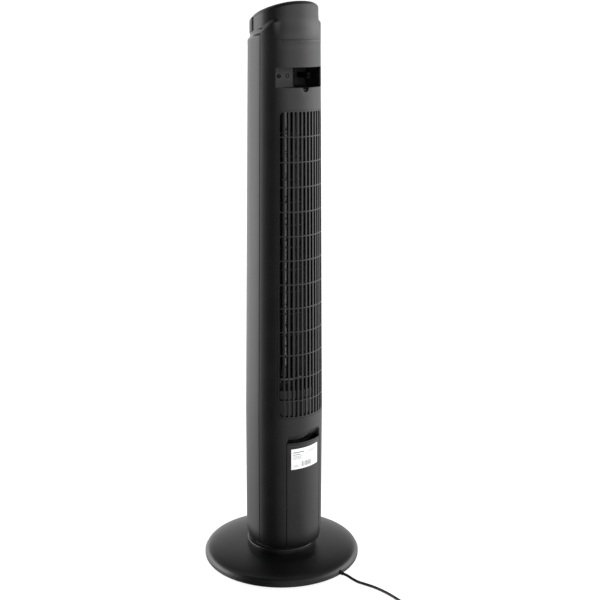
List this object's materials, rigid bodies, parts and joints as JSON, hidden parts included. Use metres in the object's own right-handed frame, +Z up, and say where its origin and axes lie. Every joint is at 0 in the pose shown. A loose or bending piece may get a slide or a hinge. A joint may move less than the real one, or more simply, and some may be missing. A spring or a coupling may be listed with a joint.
{
  "type": "tower fan",
  "caption": "Tall round oscillating tower fan on a disc base, with a slatted rear intake, a carrying recess, a service cover and a mains lead.",
  "frame": {"origin": "on the floor, under the centre of the round base and on the swivel axis", "axes": "+Z up along the column; +Y towards the rear, where the intake grille and the handle are; the air leaves towards -Y"},
  "size_m": [0.2894, 0.5477, 1.0161],
  "materials": {
    "satin_black": "satin moulded",
    "gloss_black": "polished",
    "inner_plastic": "matt moulded",
    "rubber": "soft matt",
    "steel": "zinc plated",
    "iron_weight": "as cast, painted",
    "copper_winding": "enamelled wire",
    "brass": "turned",
    "circuit_board": "solder mask",
    "label": "white film",
    "button": "satin"
  },
  "bodies": {
    "base": {"base_cover": "satin_black", "base_plate": "inner_plastic", "base_weight": "iron_weight", "swivel_collar": "satin_black", "swivel_bearing": "inner_plastic", "swivel_post": "inner_plastic", "drive_arm": "steel", "strain_relief": "rubber", "cord": "rubber", "cord_coil": "rubber", "cord_tail": "rubber", "plug_body": "rubber", "plug_pin_1": "brass", "plug_pin_2": "brass", "foot_1": "rubber", "foot_2": "rubber", "foot_3": "rubber", "foot_4": "rubber", "foot_5": "rubber", "base_screw_1": "steel", "base_screw_2": "steel", "base_screw_3": "steel"},
    "column": {"neck": "inner_plastic", "swivel_journal": "inner_plastic", "swivel_retainer": "steel", "oscillation_motor": "steel", "oscillation_bracket": "inner_plastic", "front_shell": "satin_black", "rear_shell": "satin_black", "front_grille": "satin_black", "rear_grille": "satin_black", "lower_cover": "satin_black", "scoop_wall": "inner_plastic", "rating_label": "label", "handle_pocket": "inner_plastic", "handle_screw_left": "steel", "handle_screw_right": "steel", "top_cap": "satin_black", "front_fascia": "gloss_black", "display_lens": "gloss_black", "control_board": "circuit_board", "upper_bearing_plate": "inner_plastic", "upper_bush": "brass", "motor_housing": "steel", "motor_stator": "copper_winding", "motor_bracket": "inner_plastic", "scroll_wall": "inner_plastic", "cutoff_tongue": "inner_plastic"},
    "impeller": {"impeller": "inner_plastic", "impeller_hub": "inner_plastic", "impeller_end_cap": "inner_plastic", "motor_shaft": "steel", "motor_rotor": "steel"},
    "crank": {"crank_disc": "steel", "crank_pin": "steel"},
    "button_1": {"button_1": "button"},
    "button_2": {"button_2": "button"},
    "button_3": {"button_3": "button"},
    "button_4": {"button_4": "button"},
    "button_5": {"button_5": "button"}
  },
  "joints": [
    {"name": "oscillation", "type": "hinge", "parent": "base", "child": "column", "pos_m": [0, 0, 0.03], "axis": [0, 0, 1], "range_deg": [-35, 35]},
    {"name": "impeller_spin", "type": "hinge", "parent": "column", "child": "impeller", "pos_m": [0, 0.0074, 0.6], "axis": [0, 0, 1], "continuous": true},
    {"name": "crank_turn", "type": "hinge", "parent": "column", "child": "crank", "pos_m": [0, -0.0174, 0.073], "axis": [0, 0, 1], "range_deg": [-90.5, 90.5]},
    {"name": "press_1", "type": "slide", "parent": "column", "child": "button_1", "axis": [0, 0.3134, -0.9496], "range_m": [0, 0.001], "stiffness_N_per_m": 500, "springref_m": -0.0005},
    {"name": "press_2", "type": "slide", "parent": "column", "child": "button_2", "axis": [0, 0.3134, -0.9496], "range_m": [0, 0.001], "stiffness_N_per_m": 500, "springref_m": -0.0005},
    {"name": "press_3", "type": "slide", "parent": "column", "child": "button_3", "axis": [0, 0.3134, -0.9496], "range_m": [0, 0.001], "stiffness_N_per_m": 500, "springref_m": -0.0005},
    {"name": "press_4", "type": "slide", "parent": "column", "child": "button_4", "axis": [0, 0.3134, -0.9496], "range_m": [0, 0.001], "stiffness_N_per_m": 500, "springref_m": -0.0005},
    {"name": "press_5", "type": "slide", "parent": "column", "child": "button_5", "axis": [0, 0.3134, -0.9496], "range_m": [0, 0.001], "stiffness_N_per_m": 500, "springref_m": -0.0005}
  ],
  "couplings": [
    {"joint": "crank_turn", "follows": "oscillation", "ratio": -2.5714}
  ]
}
